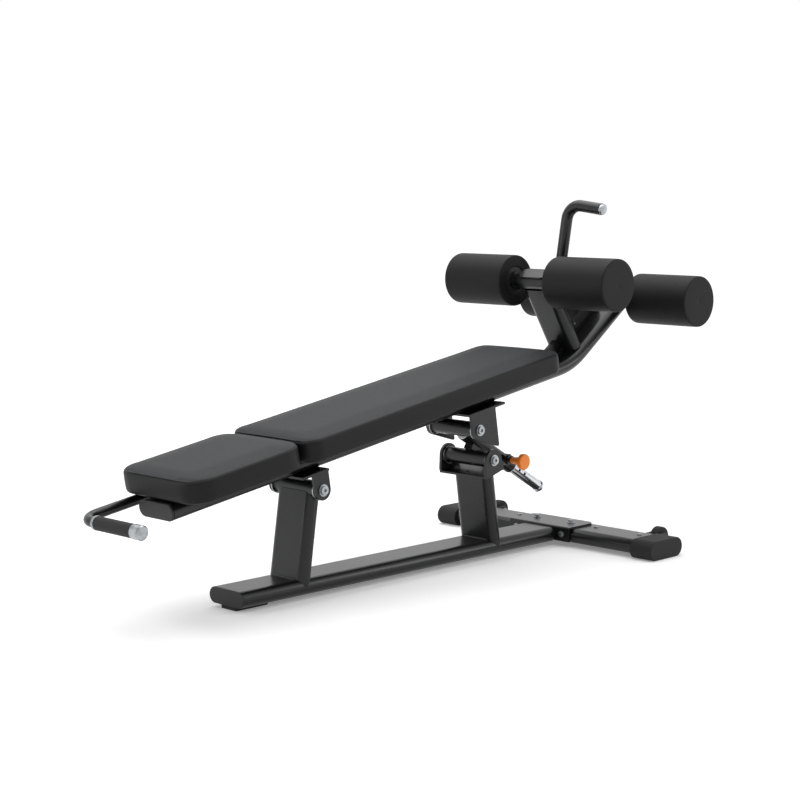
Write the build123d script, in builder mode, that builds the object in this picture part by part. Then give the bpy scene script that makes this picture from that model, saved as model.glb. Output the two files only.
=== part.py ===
from build123d import *
import math
import os

# Adjustable decline and sit-up bench, millimetres.
# +X runs along the bench towards the leg rollers, +Y across it, +Z up.
# The origin is on the floor, under the middle of the overall length.

# Flat-oval steel tube used for the beam, the posts, the rail and the strut
OVAL_W = 125
OVAL_T = 40
OVAL_WALL = 3
PLUG_FIT = 0.2

# Base
BEAM_FRONT_X = -594.5
BEAM_Z = 30
FOOT_X = 609.5
FOOT_HALF = 391
SADDLE_T = 5
FRONT_POST_LEAN = 8.5
REAR_POST_LEAN = 8.5
REAR_POST_BASE_X = 298

# Pivots, as (x, z)
FRONT_PIVOT = (-359.5, 268)
TRUNNION = (255.5, 272.8)
HUB = (199.5, 358.5)
PIVOT_R = 21
PIVOT_HALF = 73
RING_R = 26
RING_T = 3
EAR_IN = 77
EAR_OUT = 85
SHAFT_R = 10
RUN_FIT = 0.06

# Bench frame: the tilt of the pad tops and the distance of their plane from the origin
TILT = 9.41
PAD_PLANE = 474
PAD_W = 300
PAD_DROP = 58
RAIL_TOP = -63
RAIL_MID = RAIL_TOP - OVAL_T / 2
RAIL_BOTTOM = RAIL_TOP - OVAL_T
RAIL_HEAD_S = -738
BEND_X = 618.9
RISE = 35.3
BEND_R = 230

# Rollers, as (x, z) of the axle, inner end and outer end
UPPER_AXLE = (522.5, 732)
LOWER_AXLE = (862.9, 674.6)
UPPER_SPAN = (75, 283)
LOWER_SPAN = (94, 302)
ROLLER_R = 71
AXLE_R = 21
CORE_R = 25

# Adjuster: the slide axis leaves the hub downwards at this angle
SLIDE_ANGLE = 30.4
SLIDE_R = 15
SLEEVE_R = 20
SLEEVE_START = 30
SLEEVE_END = 255
SLIDE_END = 386
PIN_AT = 203

ct = math.cos(math.radians(TILT))
st = math.sin(math.radians(TILT))
BENCH_O = (-PAD_PLANE * st, 0, PAD_PLANE * ct)
bench = Plane(origin=BENCH_O, x_dir=(ct, 0, st), z_dir=(-st, 0, ct))
bench_side = Plane(origin=BENCH_O, x_dir=(ct, 0, st), z_dir=(0, -1, 0))


def side_point(s, n):
    """(x, z) of a point s along the bench and n above the pad tops."""
    return (BENCH_O[0] + s * ct - n * st, BENCH_O[2] + s * st + n * ct)


def bench_coords(point):
    """(s, n) of an (x, z) point."""
    dx = point[0] - BENCH_O[0]
    dz = point[1] - BENCH_O[2]
    return (dx * ct + dz * st, dz * ct - dx * st)


def side_plane(point, angle, y=0):
    """Plane facing -Y at an (x, z) point, its x axis turned up by angle."""
    a = math.radians(angle)
    return Plane(origin=(point[0], y, point[1]), x_dir=(math.cos(a), 0, math.sin(a)), z_dir=(0, -1, 0))


def along_plane(point, angle):
    """Plane across a tube that leaves an (x, z) point at angle, x axis along +Y."""
    a = math.radians(angle)
    return Plane(origin=(point[0], 0, point[1]), x_dir=(0, 1, 0), z_dir=(math.cos(a), 0, math.sin(a)))


def oval():
    SlotOverall(OVAL_W, OVAL_T)


def oval_bore(width=OVAL_W):
    SlotOverall(width - 2 * OVAL_WALL, OVAL_T - 2 * OVAL_WALL, mode=Mode.SUBTRACT)


def oval_plug():
    SlotOverall(OVAL_W - 2 * OVAL_WALL - PLUG_FIT, OVAL_T - 2 * OVAL_WALL - PLUG_FIT)


def keep(part, label):
    part.label = label
    export_step(part, f"parts/{label}.step")


os.makedirs("parts", exist_ok=True)

# ---- Base -------------------------------------------------------------

saddle_x = FOOT_X - OVAL_W / 2
beam_end = saddle_x - SADDLE_T
with BuildPart() as base_beam:
    with BuildSketch(Plane.YZ.offset(BEAM_FRONT_X + 4)):
        with Locations((0, BEAM_Z)):
            oval()
            oval_bore()
    extrude(amount=beam_end - BEAM_FRONT_X - 4)
keep(base_beam.part, "base_beam")

with BuildPart() as beam_front_cap:
    with BuildSketch(Plane.YZ.offset(BEAM_FRONT_X)):
        with Locations((0, BEAM_Z)):
            oval()
    extrude(amount=4)
    fillet(beam_front_cap.faces().sort_by(Axis.X)[0].edges(), 1.8)
    with BuildSketch(Plane.YZ.offset(BEAM_FRONT_X + 4)):
        with Locations((0, BEAM_Z)):
            oval_plug()
    extrude(amount=20)
keep(beam_front_cap.part, "beam_front_cap")

with BuildPart() as front_foot:
    with BuildSketch(Plane.XY):
        with Locations((BEAM_FRONT_X + 57, 0)):
            RectangleRounded(102, 57, 6)
    extrude(amount=BEAM_Z - OVAL_T / 2)
    fillet(front_foot.faces().sort_by(Axis.Z)[0].edges(), 1.5)
keep(front_foot.part, "front_foot")

# The posts are coped over the rounded sides of the beam, so each is cut by the beam's outer shape
with BuildPart() as beam_envelope:
    with BuildSketch(Plane.YZ.offset(BEAM_FRONT_X)):
        with Locations((0, BEAM_Z)):
            oval()
    extrude(amount=beam_end - BEAM_FRONT_X)

POST_BASE = 40
front_angle = 90 - FRONT_POST_LEAN
a = math.radians(front_angle)
FRONT_POST_LEN = 260
front_base = (
    FRONT_PIVOT[0] - FRONT_POST_LEN * math.cos(a),
    FRONT_PIVOT[1] - FRONT_POST_LEN * math.sin(a),
)
with BuildPart() as front_post:
    with BuildSketch(along_plane(front_base, front_angle)):
        oval()
        oval_bore()
    extrude(amount=FRONT_POST_LEN)
    split(bisect_by=Plane.XY.offset(BEAM_Z), keep=Keep.TOP)
    add(beam_envelope.part, mode=Mode.SUBTRACT)
    with BuildSketch(side_plane(FRONT_PIVOT, 0)):
        Circle(PIVOT_R)
    extrude(amount=OVAL_W, both=True, mode=Mode.SUBTRACT)
keep(front_post.part, "front_post")

FORK_SLOPE = 17
FORK_DROP = 32
FORK_T = 6
rear_angle = 90 + REAR_POST_LEAN
a = math.radians(rear_angle)
rear_start = (
    REAR_POST_BASE_X - POST_BASE * math.cos(a),
    BEAM_Z + OVAL_T / 2 - POST_BASE * math.sin(a),
)
fork_plane = side_plane(TRUNNION, FORK_SLOPE)
f = math.radians(FORK_SLOPE)
with BuildPart() as rear_post:
    with BuildSketch(along_plane(rear_start, rear_angle)):
        oval()
        oval_bore()
    extrude(amount=270)
    split(bisect_by=Plane.XY.offset(BEAM_Z), keep=Keep.TOP)
    add(beam_envelope.part, mode=Mode.SUBTRACT)
    top_cut = FORK_DROP + FORK_T
    split(
        bisect_by=Plane(
            origin=(TRUNNION[0] + top_cut * math.sin(f), 0, TRUNNION[1] - top_cut * math.cos(f)),
            z_dir=(-math.sin(f), 0, math.cos(f)),
        ),
        keep=Keep.BOTTOM,
    )
keep(rear_post.part, "rear_post")

# Folded plate fork on the rear post: a sloping seat with a hole and two ears
with BuildPart() as rear_fork:
    with BuildSketch(fork_plane):
        with Locations((-5, -FORK_DROP - FORK_T / 2)):
            Rectangle(72, FORK_T)
    extrude(amount=EAR_OUT, both=True)
    with BuildSketch(fork_plane.offset(-EAR_OUT)):
        Circle(30)
        with Locations((-5, -FORK_DROP)):
            Rectangle(72, 2 * FORK_T)
        make_hull()
    extrude(amount=EAR_OUT - EAR_IN)
    with BuildSketch(fork_plane.offset(EAR_IN)):
        Circle(30)
        with Locations((-5, -FORK_DROP)):
            Rectangle(72, 2 * FORK_T)
        make_hull()
    extrude(amount=EAR_OUT - EAR_IN)
    with BuildSketch(fork_plane):
        Circle(SHAFT_R + RUN_FIT)
    extrude(amount=EAR_OUT + 5, both=True, mode=Mode.SUBTRACT)
    with BuildSketch(Plane(
        origin=(TRUNNION[0] + FORK_DROP * math.sin(f), 0, TRUNNION[1] - FORK_DROP * math.cos(f)),
        x_dir=(math.cos(f), 0, math.sin(f)),
        z_dir=(-math.sin(f), 0, math.cos(f)),
    )):
        with Locations((-22, 0)):
            Circle(6)
    extrude(amount=-FORK_T, mode=Mode.SUBTRACT)
keep(rear_fork.part, "rear_fork")

with BuildPart() as front_hub_tube:
    with BuildSketch(side_plane(FRONT_PIVOT, 0)):
        Circle(PIVOT_R)
        Circle(PIVOT_R - 4, mode=Mode.SUBTRACT)
    extrude(amount=PIVOT_HALF, both=True)
keep(front_hub_tube.part, "front_hub_tube")


def pivot_rings(point):
    """Two flanged bushes that close the ends of a pivot tube."""
    with BuildPart() as rings:
        for start in (PIVOT_HALF, -PIVOT_HALF - RING_T):
            with BuildSketch(side_plane(point, 0).offset(start)):
                Circle(RING_R)
            extrude(amount=RING_T)
        for start in (PIVOT_HALF - 24, -PIVOT_HALF):
            with BuildSketch(side_plane(point, 0).offset(start)):
                Circle(PIVOT_R - 4.05)
            extrude(amount=24)
        with BuildSketch(side_plane(point, 0)):
            Circle(SHAFT_R + RUN_FIT)
        extrude(amount=PIVOT_HALF + RING_T + 1, both=True, mode=Mode.SUBTRACT)
    return rings.part


keep(pivot_rings(FRONT_PIVOT), "front_hub_rings")

with BuildPart() as foot_tube:
    with BuildSketch(Plane.XZ):
        with Locations((FOOT_X, BEAM_Z)):
            oval()
            oval_bore()
    extrude(amount=FOOT_HALF - 6, both=True)
keep(foot_tube.part, "foot_tube")

# Folded saddle over the foot tube: top plate and a front plate the beam is welded to
SADDLE_HALF = 108
FOOT_TOP = BEAM_Z + OVAL_T / 2
with BuildPart() as foot_saddle:
    with BuildSketch(Plane.XY.offset(FOOT_TOP)):
        with Locations(((saddle_x - SADDLE_T + FOOT_X + 46) / 2, 0)):
            Rectangle(FOOT_X + 46 - saddle_x + SADDLE_T, 2 * SADDLE_HALF)
    extrude(amount=SADDLE_T)
    with BuildSketch(Plane.XY.offset(14)):
        with Locations((saddle_x - SADDLE_T / 2, 0)):
            Rectangle(SADDLE_T, 2 * SADDLE_HALF)
    extrude(amount=FOOT_TOP - 14)
    top_edges = foot_saddle.edges().filter_by(Axis.Z).group_by(Axis.X)[-1]
    chamfer(top_edges, 14)
    fillet(foot_saddle.edges().filter_by(Axis.Y).group_by(Axis.X)[0].group_by(Axis.Z)[-1], 4)
keep(foot_saddle.part, "foot_saddle")

FOOT_BOLTS = ((FOOT_X - 2, 62), (FOOT_X - 2, -62))
with BuildPart() as saddle_bolts:
    for x, y in FOOT_BOLTS:
        with BuildSketch(Plane.XY.offset(FOOT_TOP + SADDLE_T)):
            with Locations((x, y)):
                Circle(11)
        extrude(amount=2)
        with BuildSketch(Plane.XY.offset(FOOT_TOP + SADDLE_T + 2)):
            with Locations((x, y)):
                RegularPolygon(8.5, 6)
        extrude(amount=6)
    for y in (-82, 82):
        with BuildSketch(Plane.YZ.offset(saddle_x - SADDLE_T)):
            with Locations((y, 34)):
                Circle(9)
        extrude(amount=-3)
        with BuildSketch(Plane.YZ.offset(saddle_x - SADDLE_T - 3)):
            with Locations((y, 34)):
                RegularPolygon(6.5, 6)
        extrude(amount=-5)
keep(saddle_bolts.part, "saddle_bolts")

with BuildPart() as foot_screws:
    for y in (-290, -140, 140, 290):
        with BuildSketch(Plane.XY.offset(FOOT_TOP)):
            with Locations((FOOT_X + 12, y)):
                Circle(6.5)
        extrude(amount=3)
        with BuildSketch(Plane.XY.offset(FOOT_TOP + 1)):
            with Locations((FOOT_X + 12, y)):
                RegularPolygon(3, 6)
        extrude(amount=2, mode=Mode.SUBTRACT)
    heads = foot_screws.edges().filter_by(GeomType.CIRCLE).group_by(Axis.Z)[-1]
    fillet(heads, 1.2)
keep(foot_screws.part, "foot_screws")

BOOT_LEN = 70
with BuildPart() as foot_boots:
    for y in (-FOOT_HALF, FOOT_HALF - BOOT_LEN):
        with BuildSketch(Plane.XZ.offset(-y)):
            with Locations((FOOT_X, 26.5)):
                SlotOverall(143, 53)
        extrude(amount=-BOOT_LEN)
    fillet(foot_boots.faces().sort_by(Axis.Y)[0].edges(), 4)
    fillet(foot_boots.faces().sort_by(Axis.Y)[-1].edges(), 4)
    with BuildSketch(Plane.XZ):
        with Locations((FOOT_X, BEAM_Z)):
            oval()
    extrude(amount=FOOT_HALF - 6, both=True, mode=Mode.SUBTRACT)
keep(foot_boots.part, "foot_boots")

# Transport wheels behind the foot
WHEEL = (FOOT_X + 96, 33)
WHEEL_R = 29
WHEEL_Y = 294
with BuildPart() as wheel_brackets:
    for y in (-WHEEL_Y, WHEEL_Y):
        for offset in (-19, 15):
            with BuildSketch(Plane.XZ.offset(-y + offset)):
                with Locations(WHEEL):
                    Circle(15)
                with Locations((FOOT_X + 66, 30)):
                    Rectangle(8, 34)
                make_hull()
                with Locations(WHEEL):
                    Circle(5 + RUN_FIT, mode=Mode.SUBTRACT)
            extrude(amount=4)
        with BuildSketch(Plane.XZ.offset(-y - 19)):
            with Locations((FOOT_X + 63, 30)):
                Rectangle(5, 34)
        extrude(amount=38)
    with BuildSketch(Plane.XZ):
        with Locations((FOOT_X, BEAM_Z)):
            oval()
    extrude(amount=FOOT_HALF - 6, both=True, mode=Mode.SUBTRACT)
keep(wheel_brackets.part, "wheel_brackets")

with BuildPart() as wheel_axles:
    for y in (-WHEEL_Y, WHEEL_Y):
        with BuildSketch(Plane.XZ.offset(-y - 23)):
            with Locations(WHEEL):
                Circle(5)
        extrude(amount=46)
        for offset in (-24, 19):
            with BuildSketch(Plane.XZ.offset(-y + offset)):
                with Locations(WHEEL):
                    Circle(8)
            extrude(amount=5)
keep(wheel_axles.part, "wheel_axles")

for side, y in (("near", -WHEEL_Y), ("far", WHEEL_Y)):
    with BuildPart() as wheel:
        with BuildSketch(Plane.XZ.offset(-y - 12)):
            with Locations(WHEEL):
                Circle(WHEEL_R)
        extrude(amount=24)
        fillet(wheel.edges(), 4)
        with BuildSketch(Plane.XZ.offset(-y - 14)):
            with Locations(WHEEL):
                Circle(9)
        extrude(amount=28)
        with BuildSketch(Plane.XZ.offset(-y - 15)):
            with Locations(WHEEL):
                Circle(5 + RUN_FIT)
        extrude(amount=30, mode=Mode.SUBTRACT)
    keep(wheel.part, f"wheel_{side}")


def pivot_bolts(point, bored):
    """Shaft across two ears with a washer and a socket-head cap at each end."""
    plane = side_plane(point, 0)
    with BuildPart() as bolts:
        with BuildSketch(plane):
            Circle(SHAFT_R)
        extrude(amount=EAR_OUT, both=True)
        if bored:
            with BuildSketch(plane):
                Circle(SHAFT_R + 1)
            extrude(amount=EAR_IN, both=True, mode=Mode.SUBTRACT)
        for step in (1, -1):
            with BuildSketch(plane.offset(step * EAR_OUT)):
                Circle(15)
            extrude(amount=step * 2.5)
            with BuildSketch(plane.offset(step * (EAR_OUT + 2.5))):
                Circle(11)
            extrude(amount=step * 5)
            with BuildSketch(plane.offset(step * (EAR_OUT + 3.5))):
                RegularPolygon(5, 6)
            extrude(amount=step * 5, mode=Mode.SUBTRACT)
    return bolts.part


keep(pivot_bolts(FRONT_PIVOT, False), "front_pivot_bolts")
keep(pivot_bolts(TRUNNION, False), "trunnion_bolts")
# The hub bolts end inside the ears: the hub tube swings a little clear of them at half lift
keep(pivot_bolts(HUB, True), "hub_bolts")

# ---- Bench frame ------------------------------------------------------

rise = math.radians(RISE)
bend = (BEND_X, LOWER_AXLE[1] - (LOWER_AXLE[0] - BEND_X) * math.tan(rise))
bend_s, _ = bench_coords(bend)
head_point = side_point(RAIL_HEAD_S, RAIL_MID)
bend_point = side_point(bend_s, RAIL_MID)
with BuildPart() as main_rail:
    with BuildLine(Plane.XZ) as rail_line:
        FilletPolyline(head_point, bend_point, LOWER_AXLE, radius=BEND_R)
    with BuildSketch(along_plane(head_point, TILT)):
        oval()
        oval_bore()
    sweep()
    with BuildSketch(side_plane(LOWER_AXLE, 0)):
        Circle(AXLE_R)
    extrude(amount=OVAL_W, both=True, mode=Mode.SUBTRACT)
keep(main_rail.part, "main_rail")

with BuildPart() as rail_head_cap:
    with BuildSketch(along_plane(side_point(RAIL_HEAD_S - 6, RAIL_MID), TILT)):
        oval()
    extrude(amount=6)
    outer = rail_head_cap.faces().filter_by(GeomType.PLANE).sort_by(Axis.X)[0]
    fillet(outer.edges(), 2.5)
    with BuildSketch(along_plane(head_point, TILT)):
        oval_plug()
    extrude(amount=20)
keep(rail_head_cap.part, "rail_head_cap")

# The strut is a narrower tube; its top is notched from the front, so that the upper axle lies in it
STRUT_W = 103
STRUT_LEAN = 32.6
strut_top = (UPPER_AXLE[0] + 6, UPPER_AXLE[1])
s = math.radians(STRUT_LEAN)
strut_start = (strut_top[0] - 28 * math.sin(s), strut_top[1] + 28 * math.cos(s))
with BuildPart() as roller_strut:
    with BuildSketch(along_plane(strut_start, STRUT_LEAN - 90)):
        SlotOverall(STRUT_W, OVAL_T)
        oval_bore(STRUT_W)
    extrude(amount=290)
    with BuildSketch(along_plane(strut_start, STRUT_LEAN - 90)):
        SlotOverall(STRUT_W, OVAL_T)
    extrude(amount=4)
    split(
        bisect_by=Plane(
            origin=(LOWER_AXLE[0] - 20 * math.sin(rise), 0, LOWER_AXLE[1] + 20 * math.cos(rise)),
            z_dir=(-math.sin(rise), 0, math.cos(rise)),
        ),
        keep=Keep.TOP,
    )
    with BuildSketch(side_plane(UPPER_AXLE, STRUT_LEAN)):
        Circle(AXLE_R)
        with Locations((-OVAL_T / 2, 0)):
            Rectangle(OVAL_T, 2 * AXLE_R)
    extrude(amount=OVAL_W, both=True, mode=Mode.SUBTRACT)
    add(main_rail.part, mode=Mode.SUBTRACT)
keep(roller_strut.part, "roller_strut")

# Hook handle behind the strut: an upright that leans towards -Y and an arm across
HOOK_X = 630.5
HOOK_R = 16
HOOK_FOOT = (21.4, 665)
HOOK_CORNER = (-22.5, 944)
HOOK_TIP = (-137, 930)
hook_len = math.dist(HOOK_FOOT, HOOK_CORNER)
hook_up = (0, (HOOK_CORNER[0] - HOOK_FOOT[0]) / hook_len, (HOOK_CORNER[1] - HOOK_FOOT[1]) / hook_len)
hook_base = Plane(origin=(HOOK_X, HOOK_FOOT[0], HOOK_FOOT[1]), x_dir=(1, 0, 0), z_dir=hook_up)
with BuildPart() as hook_handle:
    with BuildLine(Plane.YZ.offset(HOOK_X)) as hook_line:
        FilletPolyline(HOOK_FOOT, HOOK_CORNER, HOOK_TIP, radius=46)
    with BuildSketch(hook_base):
        Circle(HOOK_R)
        Circle(HOOK_R - 2.5, mode=Mode.SUBTRACT)
    sweep()
keep(hook_handle.part, "hook_handle")

tip_len = math.dist(HOOK_CORNER, HOOK_TIP)
hook_out = (0, (HOOK_TIP[0] - HOOK_CORNER[0]) / tip_len, (HOOK_TIP[1] - HOOK_CORNER[1]) / tip_len)
with BuildPart() as hook_cap:
    with BuildSketch(Plane(origin=(HOOK_X, HOOK_TIP[0], HOOK_TIP[1]), x_dir=(1, 0, 0), z_dir=hook_out)):
        Circle(HOOK_R - 1.5)
    extrude(amount=9)
    fillet(hook_cap.faces().sort_by(Axis.Y)[0].edges(), 3)
    with BuildSketch(Plane(origin=(HOOK_X, HOOK_TIP[0], HOOK_TIP[1]), x_dir=(1, 0, 0), z_dir=hook_out)):
        Circle(HOOK_R - 2.6)
    extrude(amount=-15)
keep(hook_cap.part, "hook_cap")

# Web plate between the strut and the rail, and the small rib in front of the strut
WEB_T = 8
with BuildPart() as roller_web:
    with BuildSketch(Plane.XZ):
        with BuildLine():
            Polyline((560, 688), (640, 705), (700, 690), (800, 650), (660, 545), (635, 535), close=True)
        make_face()
        with BuildLine():
            Polyline((558, 538), (596, 566), (640, 556), (606, 520), close=True)
        make_face()
    extrude(amount=WEB_T / 2, both=True)
    with BuildSketch(along_plane(strut_start, STRUT_LEAN - 90)):
        SlotOverall(STRUT_W, OVAL_T)
    extrude(amount=300, mode=Mode.SUBTRACT)
    with BuildSketch(side_plane(LOWER_AXLE, RISE)):
        with Locations((-185, -20)):
            Rectangle(430, 80)
    extrude(amount=OVAL_W, both=True, mode=Mode.SUBTRACT)
    with BuildSketch(hook_base.offset(-2)):
        Circle(HOOK_R)
    extrude(amount=80, mode=Mode.SUBTRACT)
    add(main_rail.part, mode=Mode.SUBTRACT)
keep(roller_web.part, "roller_web")

# Blank pill-shaped plate on the web, held by two rivets
PLATE_MID = (710, 627)
plate_plane = side_plane(PLATE_MID, RISE, -WEB_T / 2)
with BuildPart() as name_plate:
    with BuildSketch(plate_plane):
        SlotOverall(90, 34)
    extrude(amount=1.5)
    with BuildSketch(plate_plane.offset(1.2)):
        SlotOverall(80, 24)
    extrude(amount=0.3, mode=Mode.SUBTRACT)
keep(name_plate.part, "name_plate")

with BuildPart() as plate_rivets:
    with BuildSketch(plate_plane.offset(1.2)):
        with Locations((-34, 0), (34, 0)):
            Circle(3)
    extrude(amount=1.6)
keep(plate_rivets.part, "plate_rivets")

# Folded brackets under the rail that carry the pivots
BRACKET_T = 6
front_s, front_n = bench_coords(FRONT_PIVOT)
hub_s, hub_n = bench_coords(HUB)
bracket_n = RAIL_BOTTOM - BRACKET_T


def pivot_bracket(point, pivot_s, pivot_n, plate_from, plate_to, ear_to, ear_r, toe):
    """Plate under the rail with two ears; toe adds a lower corner to each ear."""
    with BuildPart() as bracket:
        with BuildSketch(bench_side):
            with Locations(((plate_from + plate_to) / 2, RAIL_BOTTOM - BRACKET_T / 2)):
                Rectangle(plate_to - plate_from, BRACKET_T)
        extrude(amount=EAR_OUT, both=True)
        for start in (EAR_IN, -EAR_OUT):
            with BuildSketch(bench_side.offset(start)):
                with Locations((pivot_s, pivot_n)):
                    Circle(ear_r)
                with Locations(((pivot_s - ear_r + ear_to) / 2, bracket_n + BRACKET_T / 2)):
                    Rectangle(ear_to - pivot_s + ear_r, BRACKET_T)
                if toe:
                    with Locations((ear_to - 5, pivot_n - toe)):
                        Circle(5)
                make_hull()
            extrude(amount=EAR_OUT - EAR_IN)
        with BuildSketch(side_plane(point, 0)):
            Circle(SHAFT_R)
        extrude(amount=EAR_OUT + 5, both=True, mode=Mode.SUBTRACT)
    return bracket.part


keep(pivot_bracket(FRONT_PIVOT, front_s, front_n, -370, -283, front_s + 25, 25, 0), "front_bracket")
keep(pivot_bracket(HUB, hub_s, hub_n, 222, 363, 324, 27, 55), "hub_bracket")

# Pads: upholstered cushions over plywood boards, on straps across the rail
BOARD_T = 12
BOARD_INSET = 12
# Each pad as its head end, its other end and its corner radius
HEAD_PAD = (-738, -396, 56)
BACK_PAD = (-391, 547, 42)
STRAPS = (-680, -470, -320, 60, 460)


def cushion(pad):
    """Closed cushion block with a pocket underneath for its board."""
    start, end, corner = pad
    middle = (start + end) / 2
    length = end - start
    pocket = BOARD_INSET - 0.2
    with BuildPart() as block:
        with BuildSketch(bench.offset(-PAD_DROP)):
            with Locations((middle, 0)):
                RectangleRounded(length, PAD_W, corner)
        extrude(amount=PAD_DROP)
        top = block.faces().sort_by(Axis.Z)[-1]
        fillet(top.edges(), 5)
        with BuildSketch(bench.offset(-PAD_DROP)):
            with Locations((middle, 0)):
                RectangleRounded(length - 2 * pocket, PAD_W - 2 * pocket, corner - pocket)
        extrude(amount=BOARD_T + 0.2, mode=Mode.SUBTRACT)
    return block.part


keep(cushion(HEAD_PAD), "head_cushion")
keep(cushion(BACK_PAD), "back_cushion")

with BuildPart() as pad_boards:
    for start, end, corner in (HEAD_PAD, BACK_PAD):
        with BuildSketch(bench.offset(-PAD_DROP)):
            with Locations(((start + end) / 2, 0)):
                RectangleRounded(end - start - 2 * BOARD_INSET, PAD_W - 2 * BOARD_INSET, corner - BOARD_INSET)
        extrude(amount=BOARD_T)
keep(pad_boards.part, "pad_boards")

STRAP_T = -PAD_DROP - RAIL_TOP
with BuildPart() as pad_straps:
    with BuildSketch(bench.offset(RAIL_TOP)):
        with Locations(*[(s, 0) for s in STRAPS]):
            RectangleRounded(40, 200, 6)
    extrude(amount=STRAP_T)
keep(pad_straps.part, "pad_straps")

with BuildPart() as strap_screws:
    for s in STRAPS:
        for y in (-84, 84):
            with BuildSketch(bench.offset(RAIL_TOP)):
                with Locations((s, y)):
                    Circle(7)
            extrude(amount=-3)
            with BuildSketch(bench.offset(RAIL_TOP - 3)):
                with Locations((s, y)):
                    RegularPolygon(3, 6)
            extrude(amount=2, mode=Mode.SUBTRACT)
keep(strap_screws.part, "strap_screws")

# Carry handle at the head end: leaves the side of the rail, then runs across the end
HANDLE_R = 12.5
HANDLE_Y = 120
HANDLE_S = -864
HANDLE_ROOT = -640
GRIP = (54, -81)
handle_plane = bench.offset(RAIL_MID)
with BuildPart() as carry_handle:
    with BuildLine(handle_plane) as handle_line:
        FilletPolyline(
            (HANDLE_ROOT, 45), (HANDLE_ROOT, HANDLE_Y), (HANDLE_S, HANDLE_Y), (HANDLE_S, GRIP[1] - 22), radius=44
        )
    root = side_point(HANDLE_ROOT, RAIL_MID)
    with BuildSketch(Plane(origin=(root[0], 45, root[1]), x_dir=(ct, 0, st), z_dir=(0, 1, 0))):
        Circle(HANDLE_R)
        Circle(HANDLE_R - 2.5, mode=Mode.SUBTRACT)
    sweep()
    with BuildSketch(along_plane(side_point(HANDLE_ROOT - 40, RAIL_MID), TILT)):
        oval()
    extrude(amount=80, mode=Mode.SUBTRACT)
keep(carry_handle.part, "carry_handle")

grip_axis = side_plane(side_point(HANDLE_S, RAIL_MID), TILT)
with BuildPart() as carry_grip:
    with BuildSketch(grip_axis.offset(-GRIP[0])):
        Circle(16.5)
        Circle(HANDLE_R, mode=Mode.SUBTRACT)
    extrude(amount=GRIP[0] - GRIP[1])
keep(carry_grip.part, "carry_grip")

with BuildPart() as carry_trim:
    with BuildSketch(grip_axis.offset(-GRIP[0] - 8)):
        Circle(17)
        Circle(HANDLE_R, mode=Mode.SUBTRACT)
    extrude(amount=8)
    with BuildSketch(grip_axis.offset(-GRIP[1])):
        Circle(17.5)
    extrude(amount=28)
    chamfer(carry_trim.faces().sort_by(Axis.Y)[0].edges(), 3)
    with BuildSketch(grip_axis.offset(-GRIP[1])):
        Circle(HANDLE_R)
    extrude(amount=22, mode=Mode.SUBTRACT)
keep(carry_trim.part, "carry_trim")

# ---- Leg rollers ------------------------------------------------------

COLLAR_GAP = 1


def axle(point, span):
    """Cross tube with a stop collar inside each roller."""
    plane = side_plane(point, 0)
    with BuildPart() as tube:
        with BuildSketch(plane):
            Circle(AXLE_R)
        extrude(amount=span[1] - 24, both=True)
        for start in (span[0] - COLLAR_GAP - 6, COLLAR_GAP - span[0]):
            with BuildSketch(plane.offset(start)):
                Circle(AXLE_R + 5)
            extrude(amount=6)
        with BuildSketch(plane):
            Circle(AXLE_R - 4)
        extrude(amount=span[1], both=True, mode=Mode.SUBTRACT)
    return tube.part


keep(axle(UPPER_AXLE, UPPER_SPAN), "upper_axle")
keep(axle(LOWER_AXLE, LOWER_SPAN), "lower_axle")

with BuildPart() as axle_retainers:
    for point, span in ((UPPER_AXLE, UPPER_SPAN), (LOWER_AXLE, LOWER_SPAN)):
        for step in (1, -1):
            plane = side_plane(point, 0)
            with BuildSketch(plane.offset(step * (span[1] - 24))):
                Circle(24)
            extrude(amount=step * 4)
            with BuildSketch(plane.offset(step * (span[1] - 20))):
                RegularPolygon(9, 6)
            extrude(amount=step * 5)
            with BuildSketch(plane.offset(step * (span[1] - 24))):
                Circle(AXLE_R - 4.1)
            extrude(amount=step * -14)
keep(axle_retainers.part, "axle_retainers")


def roller_core(point, span, step):
    """Plastic liner: flange at the inner end, closed cup at the outer end."""
    plane = side_plane(point, 0)
    with BuildPart() as core:
        with BuildSketch(plane.offset(step * span[0])):
            Circle(CORE_R)
        extrude(amount=step * (span[1] - 12 - span[0]))
        with BuildSketch(plane.offset(step * (span[0] + 3))):
            Circle(38)
        extrude(amount=step * 4)
        with BuildSketch(plane.offset(step * (span[1] - 28))):
            Circle(31)
        extrude(amount=step * 18)
        with BuildSketch(plane.offset(step * (span[0] - 1))):
            Circle(AXLE_R + RUN_FIT)
        extrude(amount=step * (span[1] - 23.5 - span[0]), mode=Mode.SUBTRACT)
        with BuildSketch(plane.offset(step * (span[1] - 24.5))):
            Circle(27)
        extrude(amount=step * 11.5, mode=Mode.SUBTRACT)
    return core.part


def roller_foam(point, span, step):
    """Foam cylinder, closed at the outer end and recessed at the inner end."""
    plane = side_plane(point, 0)
    with BuildPart() as foam:
        with BuildSketch(plane.offset(step * span[0])):
            Circle(ROLLER_R)
        extrude(amount=step * (span[1] - span[0]))
        fillet(foam.edges(), 4)
        with BuildSketch(plane.offset(step * (span[0] - 1))):
            Circle(CORE_R)
        extrude(amount=step * (span[1] - 27 - span[0]), mode=Mode.SUBTRACT)
        with BuildSketch(plane.offset(step * (span[0] - 1))):
            Circle(38)
        extrude(amount=step * 8, mode=Mode.SUBTRACT)
        with BuildSketch(plane.offset(step * (span[1] - 28))):
            Circle(31)
        extrude(amount=step * 18, mode=Mode.SUBTRACT)
    return foam.part


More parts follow.
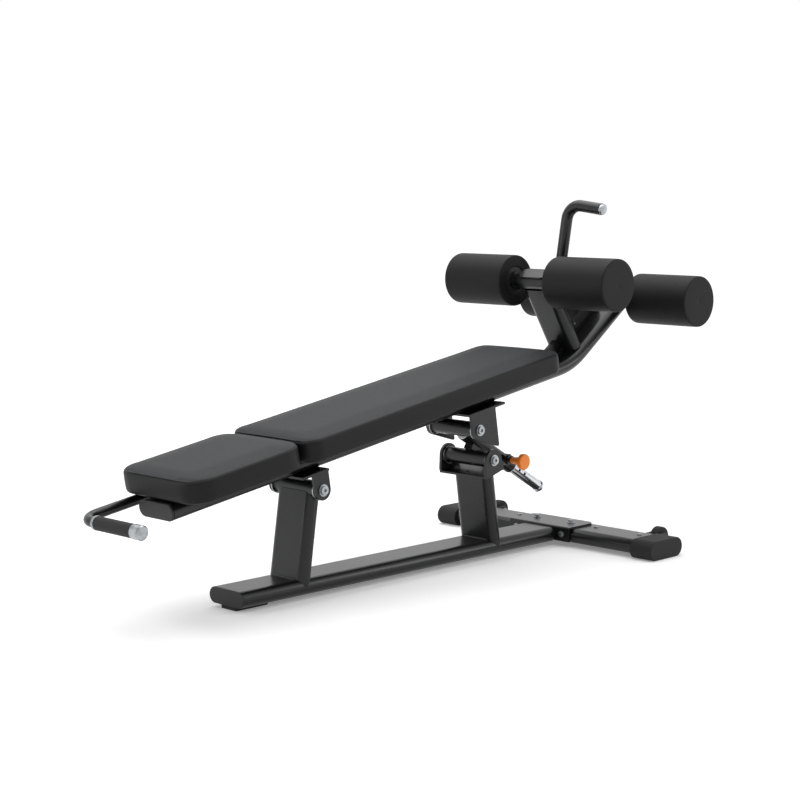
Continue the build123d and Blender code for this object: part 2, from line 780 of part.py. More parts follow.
for name, point, span in (("upper", UPPER_AXLE, UPPER_SPAN), ("lower", LOWER_AXLE, LOWER_SPAN)):
    for side, step in (("near", 1), ("far", -1)):
        keep(roller_core(point, span, step), f"{name}_{side}_core")
        keep(roller_foam(point, span, step), f"{name}_{side}_foam")

# ---- Adjuster ---------------------------------------------------------

slide = along_plane(HUB, -SLIDE_ANGLE)
u = math.radians(SLIDE_ANGLE)
slide_dir = (math.cos(u), -math.sin(u))
BUSH_R = 17.5
BUSH_LEN = 4

with BuildPart() as trunnion_tube:
    with BuildSketch(side_plane(TRUNNION, 0)):
        Circle(PIVOT_R)
    extrude(amount=PIVOT_HALF, both=True)
    with BuildSketch(side_plane(TRUNNION, -SLIDE_ANGLE)):
        with Locations((0, 26)):
            Rectangle(44, 20)
    extrude(amount=14, both=True)
    with BuildSketch(side_plane(TRUNNION, 0)):
        Circle(PIVOT_R - 4)
    extrude(amount=PIVOT_HALF, both=True, mode=Mode.SUBTRACT)
    with BuildSketch(slide):
        Circle(SLEEVE_R)
    extrude(amount=SLEEVE_END, mode=Mode.SUBTRACT)
keep(trunnion_tube.part, "trunnion_tube")
keep(pivot_rings(TRUNNION), "trunnion_rings")

PIN_R = 4
pin_point = (HUB[0] + PIN_AT * slide_dir[0], HUB[1] + PIN_AT * slide_dir[1])
pin_plane = side_plane(pin_point, 0)
with BuildPart() as slide_sleeve:
    with BuildSketch(slide.offset(SLEEVE_START + BUSH_LEN)):
        Circle(SLEEVE_R)
    extrude(amount=SLEEVE_END - SLEEVE_START - 2 * BUSH_LEN)
    with BuildSketch(pin_plane):
        Circle(16)
    extrude(amount=32)
    with BuildSketch(pin_plane):
        Circle(12)
    extrude(amount=43)
    with BuildSketch(slide.offset(SLEEVE_START)):
        Circle(BUSH_R)
    extrude(amount=SLEEVE_END, mode=Mode.SUBTRACT)
    with BuildSketch(pin_plane):
        Circle(PIN_R + RUN_FIT)
    extrude(amount=60, mode=Mode.SUBTRACT)
keep(slide_sleeve.part, "slide_sleeve")

with BuildPart() as sleeve_bushes:
    with BuildSketch(slide.offset(SLEEVE_START)):
        Circle(SLEEVE_R - 1)
    extrude(amount=BUSH_LEN)
    with BuildSketch(slide.offset(SLEEVE_START + BUSH_LEN)):
        Circle(BUSH_R - 0.05)
    extrude(amount=22)
    with BuildSketch(slide.offset(SLEEVE_END - BUSH_LEN)):
        Circle(SLEEVE_R - 1)
    extrude(amount=BUSH_LEN)
    with BuildSketch(slide.offset(SLEEVE_END - BUSH_LEN - 22)):
        Circle(BUSH_R - 0.05)
    extrude(amount=22)
    with BuildSketch(slide.offset(SLEEVE_START - 1)):
        Circle(SLIDE_R + RUN_FIT)
    extrude(amount=SLEEVE_END, mode=Mode.SUBTRACT)
keep(sleeve_bushes.part, "sleeve_bushes")

# The slide tube has one hole for each locked tilt
HOLE_PITCH = 25.34
HOLE_COUNT = 5
with BuildPart() as slide_tube:
    with BuildSketch(slide):
        Circle(SLIDE_R)
        Circle(SLIDE_R - 3, mode=Mode.SUBTRACT)
    extrude(amount=SLIDE_END)
    with BuildSketch(side_plane(HUB, 0)):
        Circle(PIVOT_R)
    extrude(amount=PIVOT_HALF, both=True, mode=Mode.SUBTRACT)
    with BuildSketch(side_plane(HUB, -SLIDE_ANGLE)):
        for i in range(HOLE_COUNT):
            with Locations((PIN_AT + i * HOLE_PITCH, 0)):
                Circle(PIN_R + 0.5)
    extrude(amount=SLIDE_R + 5, mode=Mode.SUBTRACT)
keep(slide_tube.part, "slide_tube")

with BuildPart() as slide_stop:
    with BuildSketch(slide.offset(SLIDE_END)):
        Circle(SLIDE_R + 2.5)
    extrude(amount=9)
    fillet(slide_stop.edges().sort_by(Axis.X)[-1], 3)
    with BuildSketch(slide.offset(SLIDE_END)):
        Circle(SLIDE_R - 3.05)
    extrude(amount=-15)
keep(slide_stop.part, "slide_stop")

with BuildPart() as hub_tube:
    with BuildSketch(side_plane(HUB, 0)):
        Circle(PIVOT_R)
        Circle(PIVOT_R - 4, mode=Mode.SUBTRACT)
    extrude(amount=PIVOT_HALF, both=True)
keep(hub_tube.part, "hub_tube")
keep(pivot_rings(HUB), "hub_rings")

# Pull pin: its nose stops just short of the slide tube, so every tilt stays free
KNOB_FROM = 43.5
KNOB_FACE = 80
with BuildPart() as pull_pin:
    with BuildSketch(pin_plane.offset(SLIDE_R + 0.5)):
        Circle(PIN_R)
    extrude(amount=70 - SLIDE_R)
keep(pull_pin.part, "pull_pin")

with BuildPart() as pull_knob:
    with BuildSketch(pin_plane.offset(KNOB_FROM)):
        Circle(9)
    with BuildSketch(pin_plane.offset(KNOB_FACE)):
        Circle(12)
    loft()
    with BuildSketch(pin_plane.offset(KNOB_FACE)):
        Circle(21.5)
    extrude(amount=12)
    fillet(pull_knob.edges().sort_by(Axis.Y)[0], 4)
    with BuildSketch(pin_plane):
        Circle(PIN_R)
    extrude(amount=70.5, mode=Mode.SUBTRACT)
keep(pull_knob.part, "pull_knob")
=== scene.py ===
import math

import bmesh
import bpy
from mathutils import Matrix, Vector


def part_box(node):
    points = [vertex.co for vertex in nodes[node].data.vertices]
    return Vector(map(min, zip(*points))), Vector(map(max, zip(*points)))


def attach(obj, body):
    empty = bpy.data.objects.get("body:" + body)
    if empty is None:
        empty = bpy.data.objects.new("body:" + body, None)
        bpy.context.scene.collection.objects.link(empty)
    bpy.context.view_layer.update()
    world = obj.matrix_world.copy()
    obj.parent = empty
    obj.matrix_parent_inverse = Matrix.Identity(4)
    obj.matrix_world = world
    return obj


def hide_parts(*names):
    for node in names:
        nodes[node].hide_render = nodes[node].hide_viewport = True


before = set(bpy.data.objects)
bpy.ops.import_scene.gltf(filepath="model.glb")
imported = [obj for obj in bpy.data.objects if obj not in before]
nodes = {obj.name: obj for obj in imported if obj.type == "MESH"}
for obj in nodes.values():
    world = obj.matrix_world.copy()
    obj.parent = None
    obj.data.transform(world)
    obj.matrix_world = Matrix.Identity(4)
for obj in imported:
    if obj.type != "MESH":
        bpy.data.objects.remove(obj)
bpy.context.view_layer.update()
scene = bpy.context.scene

# ---- Powder-coated tube and plate -------------------------------------
# The beam, posts, foot tube, rail and strut are flat-oval mild steel tube, the brackets folded plate.
# They are welded, then powder coated satin black: an even, slightly dimpled skin that rounds every edge.


def linear(colour):
    """The linear colour of an sRGB hex value such as "#1c1d1f"."""
    channels = [int(colour[i:i + 2], 16) / 255 for i in (1, 3, 5)]
    return [c / 12.92 if c <= 0.04045 else ((c + 0.055) / 1.055) ** 2.4 for c in channels] + [1]


def node(material, kind, inputs=None, **settings):
    """Adds one shader node. inputs maps a socket's name or number to a value or to another node's output."""
    tree = material.node_tree
    made = tree.nodes.new("ShaderNode" + kind)
    for key, value in settings.items():
        setattr(made, key, value)
    for key, value in (inputs or {}).items():
        if isinstance(value, bpy.types.NodeSocket):
            tree.links.new(value, made.inputs[key])
        else:
            made.inputs[key].default_value = value
    return made


def finish_named(name, colour, roughness, **constants):
    """A material whose shader holds the plain constants of one real finish."""
    material = bpy.data.materials.new(name)
    material.use_nodes = True
    shader = material.node_tree.nodes["Principled BSDF"]
    shader.inputs["Base Color"].default_value = linear(colour)
    shader.inputs["Roughness"].default_value = roughness
    for key, value in constants.items():
        shader.inputs[key.replace("_", " ")].default_value = value
    return material, shader


def place(material):
    return node(material, "TexCoord").outputs["Object"]


def spread(material, value, low, high):
    """value, from 0 to 1, moved to the span from low to high."""
    return node(material, "MapRange", {"Value": value, "To Min": low, "To Max": high}).outputs["Result"]


def tones(material, value, *stops):
    """Colours along value, each stop a place from 0 to 1 and an sRGB hex value."""
    ramp = node(material, "ValToRGB", {"Fac": value})
    elements = ramp.color_ramp.elements
    while len(elements) < len(stops):
        elements.new(0.5)
    for element, (at, colour) in zip(elements, stops):
        element.position = at
        element.color = linear(colour)
    return ramp.outputs["Color"]


def join(material, shader, **links):
    for key, socket in links.items():
        material.node_tree.links.new(socket, shader.inputs[key.replace("_", " ")])


MM = 0.001
# Real orange peel has waves of about 0.5 mm, too fine to show, so it is drawn three times as coarse.
PEEL = 1.6 * MM
COAT_DEPTH = 0.03 * MM
EDGE_ROUND = 1.2 * MM
powder, coat = finish_named(
    "powder_coat_satin_black", "#0b0c0d", 0.3, Specular_IOR_Level=0.3, Coat_Weight=0.12, Coat_Roughness=0.12
)
at = place(powder)
cloud = node(powder, "TexNoise", {"Vector": at, "Scale": 9, "Detail": 4}).outputs["Fac"]
peel = node(powder, "TexNoise", {"Vector": at, "Scale": 1 / PEEL, "Detail": 2}).outputs["Fac"]
speck = node(powder, "TexVoronoi", {"Vector": at, "Scale": 1 / (4 * PEEL)}).outputs["Distance"]
rounded = node(powder, "Bevel", {"Radius": EDGE_ROUND}, samples=4).outputs["Normal"]
dimples = node(powder, "Bump", {"Height": peel, "Distance": COAT_DEPTH, "Strength": 0.6, "Normal": rounded})
rough = node(powder, "Math", {0: cloud, 1: speck}, operation="ADD").outputs[0]
join(
    powder,
    coat,
    Base_Color=tones(powder, cloud, (0.3, "#090a0b"), (0.7, "#0e0f10")),
    Roughness=spread(powder, rough, 0.2, 0.32),
    Normal=dimples.outputs["Normal"],
)


def dress(material, *names):
    for name in names:
        slots = nodes[name].data.materials
        slots.clear()
        slots.append(material)


dress(powder, "base_beam", "front_post", "rear_post", "rear_fork", "front_hub_tube", "foot_tube")
dress(powder, "foot_saddle", "wheel_brackets", "main_rail", "front_bracket", "hub_bracket")
dress(powder, "roller_strut", "roller_web", "carry_handle", "hook_handle", "upper_axle", "lower_axle")
dress(powder, "trunnion_tube", "slide_sleeve", "hub_tube", "pad_straps")

# ---- Bright steel: rings, bolts, rivets and trim ----------------------
# Turned and zinc-plated steel with fine lathe marks. It is pale, with a slight blue cast,
# and duller in patches where the plating is thin.

# Lathe marks are 0.1 mm apart, and drawn coarser to show at all.
TURNING = 0.35 * MM
zinc, plating = finish_named("zinc_plated_steel", "#9a9da0", 0.3, Metallic=1)
at = place(zinc)
marks = node(zinc, "TexNoise", {"Vector": at, "Scale": 1 / TURNING, "Detail": 3}).outputs["Fac"]
patches = node(zinc, "TexNoise", {"Vector": at, "Scale": 60, "Detail": 5}).outputs["Fac"]
rounded = node(zinc, "Bevel", {"Radius": 0.4 * MM}, samples=4).outputs["Normal"]
scratch = node(zinc, "Bump", {"Height": marks, "Distance": 0.01 * MM, "Strength": 0.5, "Normal": rounded})
join(
    zinc,
    plating,
    Base_Color=tones(zinc, patches, (0.3, "#85898c"), (0.7, "#aeb1b4")),
    Roughness=spread(zinc, patches, 0.2, 0.38),
    Normal=scratch.outputs["Normal"],
)
dress(zinc, "front_hub_rings", "trunnion_rings", "hub_rings", "saddle_bolts", "foot_screws", "wheel_axles")
dress(zinc, "trunnion_bolts", "front_pivot_bolts", "hub_bolts", "strap_screws", "axle_retainers")
dress(zinc, "plate_rivets", "pull_pin", "hook_cap", "carry_trim")

# ---- Slide tube and its stop ------------------------------------------
# Ground and chromed tube that slides in the sleeve. It is mirror bright,
# with faint rub marks along its length.

chrome, plate = finish_named("polished_chrome", "#d4d6d9", 0.08, Metallic=1)
at = place(chrome)
rub = node(chrome, "TexNoise", {"Vector": at, "Scale": 140, "Detail": 6}).outputs["Fac"]
rounded = node(chrome, "Bevel", {"Radius": 0.4 * MM}, samples=4).outputs["Normal"]
join(
    chrome,
    plate,
    Base_Color=tones(chrome, rub, (0.3, "#c2c5c8"), (0.7, "#dcdde0")),
    Roughness=spread(chrome, rub, 0.05, 0.16),
    Normal=rounded,
)
dress(chrome, "slide_tube", "slide_stop")

# ---- Bushes, plugs and liners -----------------------------------------
# Injection-moulded parts: pale acetal bushes in the sleeve, black nylon plugs in the tube ends
# and black liners in the rollers. Moulded skins are matte with a fine spark-eroded grain.

# Spark grain is about 0.1 mm, and drawn coarser to show at all.
SPARK = 0.8 * MM


def moulded(name, dark, light, low, high):
    material, shader = finish_named(name, dark, low, Specular_IOR_Level=0.35)
    at = place(material)
    grain = node(material, "TexNoise", {"Vector": at, "Scale": 1 / SPARK, "Detail": 3}).outputs["Fac"]
    flow = node(material, "TexNoise", {"Vector": at, "Scale": 25, "Detail": 3}).outputs["Fac"]
    rounded = node(material, "Bevel", {"Radius": 0.8 * MM}, samples=4).outputs["Normal"]
    skin_bump = {"Height": grain, "Distance": 0.03 * MM, "Strength": 0.6, "Normal": rounded}
    skin = node(material, "Bump", skin_bump)
    join(
        material,
        shader,
        Base_Color=tones(material, flow, (0.3, dark), (0.7, light)),
        Roughness=spread(material, flow, low, high),
        Normal=skin.outputs["Normal"],
    )
    return material


acetal = moulded("acetal_pale", "#c9c8c3", "#d8d7d2", 0.35, 0.45)
nylon = moulded("nylon_black", "#151516", "#1c1c1e", 0.42, 0.55)
orange = moulded("orange_plastic", "#e8781c", "#f28a2e", 0.28, 0.38)
dress(acetal, "sleeve_bushes")
dress(nylon, "beam_front_cap", "rail_head_cap", "name_plate")
dress(nylon, "upper_near_core", "upper_far_core", "lower_near_core", "lower_far_core")
dress(orange, "pull_knob")

# ---- Rubber feet, boots, grip and wheels ------------------------------
# Compression-moulded black rubber, dull and slightly dusty in the hollows.

rubber = moulded("moulded_rubber", "#101011", "#191919", 0.62, 0.8)
dress(rubber, "front_foot", "foot_boots", "carry_grip", "wheel_near", "wheel_far")

# ---- Pad boards -------------------------------------------------------
# 12 mm birch plywood under each cushion, cut with rounded corners and stained black.

birch, face = finish_named("birch_plywood_stained_black", "#1b1917", 0.6)
at = place(birch)
stretched = node(birch, "Mapping", {"Vector": at, "Scale": (1, 12, 1)}).outputs["Vector"]
grain = node(birch, "TexNoise", {"Vector": stretched, "Scale": 20, "Detail": 6}).outputs["Fac"]
join(
    birch,
    face,
    Base_Color=tones(birch, grain, (0.3, "#141211"), (0.7, "#231f1c")),
    Roughness=spread(birch, grain, 0.5, 0.7),
)
dress(birch, "pad_boards")

# ---- Cushions ---------------------------------------------------------
# Firm foam on a board, in a sewn cover: a fine-grained top panel, and a smooth side panel that is
# sewn to it round the top edge and pulled under to the board. The cover is blown up as cloth, so that
# the top crowns and the sides swell between the held seam and the held bottom edge.

TILT = math.radians(9.41)
PAD_PLANE = 474 * MM
along = Vector((math.cos(TILT), 0, math.sin(TILT)))
above = Vector((-math.sin(TILT), 0, math.cos(TILT)))
bench = Matrix((
    (along.x, 0, above.x, above.x * PAD_PLANE),
    (0, 1, 0, 0),
    (along.z, 0, above.z, above.z * PAD_PLANE),
    (0, 0, 0, 1),
))
# The embossed pebbles are about 1 mm wide, and drawn at 3 mm to show.
GRAIN = 3 * MM


def vinyl(name, dark, light, low, high, grain_depth):
    material, shader = finish_named(name, dark, low, Specular_IOR_Level=0.18)
    at = place(material)
    cells = node(material, "TexVoronoi", {"Vector": at, "Scale": 1 / GRAIN}, feature="DISTANCE_TO_EDGE")
    creases = node(material, "MapRange", {"Value": cells.outputs["Distance"], "From Max": 0.12})
    blotches = {"Vector": at, "Scale": 0.8 / GRAIN, "Detail": 4, "Roughness": 0.7}
    tone = node(material, "TexNoise", blotches).outputs["Fac"]
    fine = node(material, "TexNoise", {"Vector": at, "Scale": 2.5 / GRAIN, "Detail": 3}).outputs["Fac"]
    height = node(material, "Math", {0: creases.outputs["Result"], 1: fine}, operation="ADD").outputs[0]
    grain = node(material, "Bump", {"Height": height, "Distance": grain_depth, "Strength": 0.7})
    join(
        material,
        shader,
        Base_Color=tones(material, tone, (0.3, dark), (0.7, light)),
        Roughness=spread(material, fine, low, high),
        Normal=grain.outputs["Normal"],
    )
    return material


# The top panel's vinyl is coloured lighter than the side panel's. That lighter colour is painted light: the
# top faces the overhead lamp and the bright sky, and the sides are the same black vinyl.
top_vinyl_painted_lighter = vinyl("embossed_vinyl_black", "#17181a", "#303133", 0.46, 0.64, 0.3 * MM)
side_vinyl = vinyl("smooth_vinyl_black", "#0c0c0d", "#131314", 0.42, 0.52, 0.08 * MM)

PAD_W = 300 * MM
PAD_DROP = 58 * MM
CELL = 11 * MM
SEAM_IN = 4 * MM
SEAM_DROP = 5 * MM
ROLL = 13 * MM
BOARD_IN = 12 * MM
BOARD_T = 12 * MM
FIT = 0.2 * MM
# Of the rows that go down the side from the seam: the two in the seam, and those over the board's edge.
HELD_ROWS = {0, 1, 8, 9, 10, 11}


def outline_point(x, y, length, corner, inset):
    """The point's place on a rounded rectangle set in by inset, going straight out from the full one."""
    long, wide = length / 2 - corner, PAD_W / 2 - corner
    core = Vector((max(-long, min(long, x)), max(-wide, min(wide, y))))
    out = (Vector((x, y)) - core).normalized()
    return core + out * (corner - inset)


def edge_distance(x, y, length, corner):
    """How far inside the rounded rectangle the point lies."""
    long, wide = length / 2 - corner, PAD_W / 2 - corner
    past = Vector((max(0, abs(x) - long), max(0, abs(y) - wide)))
    if past.length > 0:
        return corner - past.length
    return corner + min(long - abs(x), wide - abs(y))


def corner_rows(half, corner, count):
    """Places from half to -half, close together round the corners and even between them."""
    turn = [half - corner * (1 - math.cos(math.radians(a))) for a in (0, 15, 30, 45, 60, 75, 90)]
    inner = half - corner
    middle = [inner - 2 * inner * i / count for i in range(1, count)]
    return turn + middle + [-t for t in reversed(turn)]


def cushion(name, start, end, corner_mm):
    length = (end - start) * MM
    mid = (start + end) / 2 * MM
    corner = corner_mm * MM
    rows = corner_rows(length / 2, corner, round((length - 2 * corner) / CELL))
    mesh = bmesh.new()
    bmesh.ops.create_grid(mesh, x_segments=len(rows) - 1, y_segments=round(PAD_W / CELL), size=0.5)
    for v in mesh.verts:
        row = rows[round((0.5 - v.co.x) * (len(rows) - 1))]
        past = max(0, abs(row) - (length / 2 - corner))
        half = PAD_W / 2 - corner + math.sqrt(max(0, corner ** 2 - past ** 2))
        v.co = Vector((row, v.co.y * 2 * half, 0))
    rim = [e for e in mesh.edges if e.is_boundary]
    rim_verts = {v for e in rim for v in e.verts}
    for v in mesh.verts:
        if v in rim_verts:
            point = outline_point(v.co.x, v.co.y, length, corner, SEAM_IN)
            v.co = Vector((point.x, point.y, -SEAM_DROP))
            continue
        share = min(1, max(0, edge_distance(v.co.x, v.co.y, length, corner) - SEAM_IN) / ROLL)
        v.co.z = -SEAM_DROP * (1 - share) ** 2
    shape = (
        (SEAM_IN + 0.5 * MM, -SEAM_DROP - 1.2 * MM),
        (SEAM_IN - 1.4 * MM, -SEAM_DROP - 1.7 * MM),
        (1.2 * MM, -SEAM_DROP - 3.6 * MM),
        (0.2 * MM, -13 * MM),
        (0, -21 * MM),
        (0, -31 * MM),
        (0, -41 * MM),
        (0.4 * MM, -50 * MM),
        (1.8 * MM, -55.5 * MM),
        (5 * MM, -PAD_DROP),
        (BOARD_IN - FIT, -PAD_DROP),
        (BOARD_IN - FIT, -PAD_DROP + BOARD_T + FIT),
    )
    held, side_faces = list(rim_verts), []
    ring = rim
    for step, (inset, drop) in enumerate(shape):
        made = bmesh.ops.extrude_edge_only(mesh, edges=ring)["geom"]
        side_faces += [f for f in made if isinstance(f, bmesh.types.BMFace)]
        ring = [e for e in made if isinstance(e, bmesh.types.BMEdge) and e.is_boundary]
        fresh = [v for v in made if isinstance(v, bmesh.types.BMVert)]
        for v in fresh:
            point = outline_point(v.co.x, v.co.y, length, corner, inset)
            v.co = Vector((point.x, point.y, drop))
        if step in HELD_ROWS:
            held += fresh
    bottom = bmesh.ops.contextual_create(mesh, geom=ring)["faces"]
    side_faces += bottom
    for f in side_faces:
        f.material_index = 1
    bmesh.ops.recalc_face_normals(mesh, faces=mesh.faces)
    mesh.verts.index_update()
    held_numbers = [v.index for v in held]
    bmesh.ops.translate(mesh, verts=mesh.verts, vec=(mid, 0, 0))
    data = bpy.data.meshes.new(name)
    mesh.to_mesh(data)
    mesh.free()
    data.materials.append(top_vinyl_painted_lighter)
    data.materials.append(side_vinyl)
    data.polygons.foreach_set("use_smooth", [True] * len(data.polygons))
    piece = bpy.data.objects.new(name, data)
    scene.collection.objects.link(piece)
    blow_up(piece, held_numbers)
    piece.data.transform(bench)
    finer = piece.modifiers.new("finer", "SUBSURF")
    finer.levels = finer.render_levels = 2
    return piece


PRESSURE = 4
STRETCH = 40
BEND = 5
SWELL = 5 * MM
SIM_FRAMES = 20


def blow_up(piece, held_numbers):
    """Cloth under pressure, held at the seam and the bottom edge; no point moves more than SWELL."""
    start = [v.co.copy() for v in piece.data.vertices]
    pins = piece.vertex_groups.new(name="held")
    pins.add(held_numbers, 1, "REPLACE")
    cloth = piece.modifiers.new("cloth", "CLOTH")
    cloth.settings.vertex_group_mass = "held"
    cloth.settings.use_pressure = True
    cloth.settings.uniform_pressure_force = PRESSURE
    cloth.settings.tension_stiffness = STRETCH
    cloth.settings.compression_stiffness = STRETCH
    cloth.settings.bending_stiffness = BEND
    cloth.settings.effector_weights.gravity = 0
    cloth.point_cache.frame_start = 1
    cloth.point_cache.frame_end = SIM_FRAMES
    for frame_number in range(1, SIM_FRAMES + 1):
        scene.frame_set(frame_number)
    swollen = bpy.data.meshes.new_from_object(piece.evaluated_get(bpy.context.evaluated_depsgraph_get()))
    for v, rest in zip(swollen.vertices, start):
        moved = v.co - rest
        if moved.length > SWELL:
            v.co = rest + moved.normalized() * SWELL
    piece.modifiers.clear()
    piece.vertex_groups.clear()
    piece.data = swollen
    scene.frame_set(1)


for name, start, end, corner_mm in (("head_cushion", -738, -396, 56), ("back_cushion", -391, 547, 42)):
    pad = cushion(name + "_cover", start, end, corner_mm)
    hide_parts(name)
    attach(pad, "bench_frame")

# ---- Leg rollers ------------------------------------------------------
# Foam cylinders with a smooth, closed skin on plastic liners. The outer end is flat and closed,
# the inner end has a moulded recess round the liner.

skin = vinyl("closed_foam_skin", "#08080a", "#0f0f10", 0.5, 0.62, 0.06 * MM)
ROLLER_R = 71
TURNS = 96
# Radius and depth below the end's face, in mm: the bore's lip and the recess round the liner, the
# rounded rim with its shallow mould line, and the closed outer end.
RECESS = ((25.3, 10), (26, 8.4), (36.6, 8), (37.6, 7), (38, 2), (39.2, 0.6), (42, 0.2), (58, 0))
RIM = (
    (66.5, 0.5), (68.4, 1), (69, 1.7), (69.6, 1.5), (70.4, 2.6), (ROLLER_R - 0.1, 6), (ROLLER_R, 14),
)
CLOSED_END = ((50, 0.2), (20, 0), (8, 0.1), (6, 0.5), (3, 0.7), (0, 0.75))


def roller(name, step):
    low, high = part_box(name + "_foam")
    centre = (low + high) / 2
    half = (high.y - low.y) / 2
    profile = [(r, depth * MM - half) for r, depth in RECESS + RIM]
    profile += [(ROLLER_R, half * share) for share in (-0.5, 0, 0.5)]
    profile += [(r, half - depth * MM) for r, depth in RIM[::-1] + CLOSED_END]
    mesh = bmesh.new()
    line = [mesh.verts.new((0, along_y, radius * MM)) for radius, along_y in profile]
    edges = [mesh.edges.new(pair) for pair in zip(line, line[1:])]
    bmesh.ops.spin(
        mesh, geom=line + edges, cent=(0, 0, 0), axis=(0, 1, 0), angle=math.tau, steps=TURNS, use_merge=True
    )
    bmesh.ops.remove_doubles(mesh, verts=mesh.verts, dist=0.02 * MM)
    bmesh.ops.scale(mesh, verts=mesh.verts, vec=(1, step, 1))
    bmesh.ops.translate(mesh, verts=mesh.verts, vec=centre)
    bmesh.ops.holes_fill(mesh, edges=[e for e in mesh.edges if e.is_boundary], sides=TURNS)
    bmesh.ops.recalc_face_normals(mesh, faces=mesh.faces)
    data = bpy.data.meshes.new(name + "_skin")
    mesh.to_mesh(data)
    mesh.free()
    data.materials.append(skin)
    data.polygons.foreach_set("use_smooth", [True] * len(data.polygons))
    piece = bpy.data.objects.new(name + "_skin", data)
    scene.collection.objects.link(piece)
    finer = piece.modifiers.new("finer", "SUBSURF")
    finer.levels = finer.render_levels = 1
    return piece


for name, step in (("upper_near", -1), ("upper_far", 1), ("lower_near", -1), ("lower_far", 1)):
    piece = roller(name, step)
    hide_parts(name + "_foam")
    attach(piece, name + "_roller")

# ---- Weld beads -------------------------------------------------------
# Rippled fillet welds, powder coated with the frame: one along each broad face of each post,
# where it stands on the flat top of the beam.

BEAD_R = 3 * MM
RIPPLE = 2.5 * MM
BEAD_SIDES = 10


def bead(name, body, start, end):
    """A straight bead with rounded ends; its core lies on the line where the two parts meet."""
    line = Vector(end) - Vector(start)
    count = round(line.length / RIPPLE) * 4
    side = line.normalized().cross(Vector((0, 0, 1))).normalized()
    up = side.cross(line.normalized())
    mesh = bmesh.new()
    rings = []
    for step in range(count + 1):
        share = step / count
        taper = math.sqrt(max(0.04, 1 - (2 * share - 1) ** 16))
        radius = BEAD_R * taper * (1 + 0.07 * math.cos(math.tau * step / 4))
        centre = Vector(start) + line * share
        turn = [math.tau * i / BEAD_SIDES for i in range(BEAD_SIDES)]
        around = [side * math.cos(a) + up * math.sin(a) for a in turn]
        rings.append([mesh.verts.new(centre + out * radius) for out in around])
    loops = [[mesh.edges.new((ring[i - 1], ring[i])) for i in range(BEAD_SIDES)] for ring in rings]
    for one, two in zip(loops, loops[1:]):
        bmesh.ops.bridge_loops(mesh, edges=one + two)
    for ends in (loops[0], loops[-1]):
        bmesh.ops.contextual_create(mesh, geom=ends)
    bmesh.ops.recalc_face_normals(mesh, faces=mesh.faces)
    data = bpy.data.meshes.new(name)
    mesh.to_mesh(data)
    mesh.free()
    data.materials.append(powder)
    data.polygons.foreach_set("use_smooth", [True] * len(data.polygons))
    piece = bpy.data.objects.new(name, data)
    scene.collection.objects.link(piece)
    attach(piece, body)


BEAM_TOP = 50 * MM
FLAT_HALF = 42 * MM
NEAR = 0.3 * MM
for post in ("front_post", "rear_post"):
    points = [v.co for v in nodes[post].data.vertices]
    foot = [p.x for p in points if abs(p.z - BEAM_TOP) < NEAR and abs(p.y) < FLAT_HALF + MM]
    for face, x in (("head_side", min(foot)), ("roller_side", max(foot))):
        bead(f"{post}_{face}_weld", "base", (x, -FLAT_HALF, BEAM_TOP), (x, FLAT_HALF, BEAM_TOP))

# ---- Floor, light and camera ------------------------------------------
# A wide white floor with a slight glow of its own, a white surround and three soft lights:
# overhead, at the near side of the rollers, and low beside the head end.

floor_mesh = bmesh.new()
bmesh.ops.create_grid(floor_mesh, x_segments=1, y_segments=1, size=40)
floor_data = bpy.data.meshes.new("floor")
floor_mesh.to_mesh(floor_data)
floor_mesh.free()
floor = bpy.data.objects.new("floor", floor_data)
scene.collection.objects.link(floor)
pale, floor_shader = finish_named("pale_floor", "#f7f7f7", 0.9, Specular_IOR_Level=0)
floor_shader.inputs["Emission Color"].default_value = (1, 1, 1, 1)
from_middle = node(pale, "VectorMath", {0: place(pale)}, operation="LENGTH").outputs["Value"]
fade = {"Value": from_middle, "From Min": 1.0, "From Max": 4.5, "To Min": 0.2, "To Max": 0.62}
glow = node(pale, "MapRange", fade)
join(pale, floor_shader, Emission_Strength=glow.outputs["Result"])
floor_data.materials.append(pale)

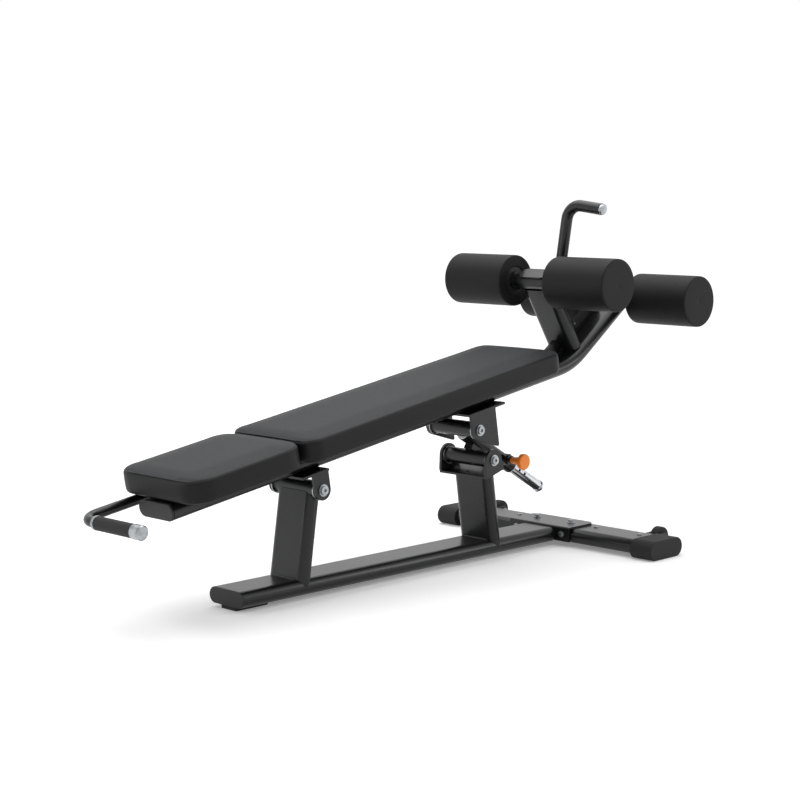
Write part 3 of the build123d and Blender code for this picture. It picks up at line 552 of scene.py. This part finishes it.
world = bpy.data.worlds.new("studio")
world.use_nodes = True
sky = world.node_tree.nodes["Background"]
sky.inputs["Color"].default_value = (1, 1, 1, 1)
sky.inputs["Strength"].default_value = 0.5
seen = world.node_tree.nodes.new("ShaderNodeBackground")
seen.inputs["Color"].default_value = (1, 1, 1, 1)
seen.inputs["Strength"].default_value = 1
path = world.node_tree.nodes.new("ShaderNodeLightPath")
either = world.node_tree.nodes.new("ShaderNodeMath")
either.operation = "MAXIMUM"
mix = world.node_tree.nodes.new("ShaderNodeMixShader")
world.node_tree.links.new(path.outputs["Is Camera Ray"], either.inputs[0])
world.node_tree.links.new(path.outputs["Is Glossy Ray"], either.inputs[1])
world.node_tree.links.new(either.outputs[0], mix.inputs["Fac"])
world.node_tree.links.new(sky.outputs["Background"], mix.inputs[1])
world.node_tree.links.new(seen.outputs["Background"], mix.inputs[2])
world.node_tree.links.new(mix.outputs["Shader"], world.node_tree.nodes["World Output"].inputs["Surface"])
scene.world = world


def soft_light(name, where, target, size, watts):
    lamp = bpy.data.lights.new(name, "AREA")
    lamp.shape = "RECTANGLE"
    lamp.size, lamp.size_y = size
    lamp.energy = watts
    holder = bpy.data.objects.new(name, lamp)
    holder.location = where
    holder.rotation_mode = "QUATERNION"
    holder.rotation_quaternion = (Vector(target) - Vector(where)).to_track_quat("-Z", "Y")
    scene.collection.objects.link(holder)


MIDDLE = (0, 0, 0.4)
soft_light("overhead", (0.2, 0.5, 3.4), MIDDLE, (4, 4), 110)
soft_light("roller_side", (2.6, -2.4, 1.5), MIDDLE, (0.6, 1.8), 16)
soft_light("head_side", (-3.4, 1.6, 1.2), MIDDLE, (0.8, 1.6), 22)

eye = bpy.data.cameras.new("camera")
eye.sensor_width = 36
eye.lens = 80.415
camera = bpy.data.objects.new("camera", eye)
camera.location = (-3.2375, -3.1986, 1.0)
camera.rotation_mode = "QUATERNION"
camera.rotation_quaternion = Vector((0.7049, 0.6990, -0.1203)).to_track_quat("-Z", "Y")
scene.collection.objects.link(camera)
scene.camera = camera
scene.view_settings.view_transform = "Standard"
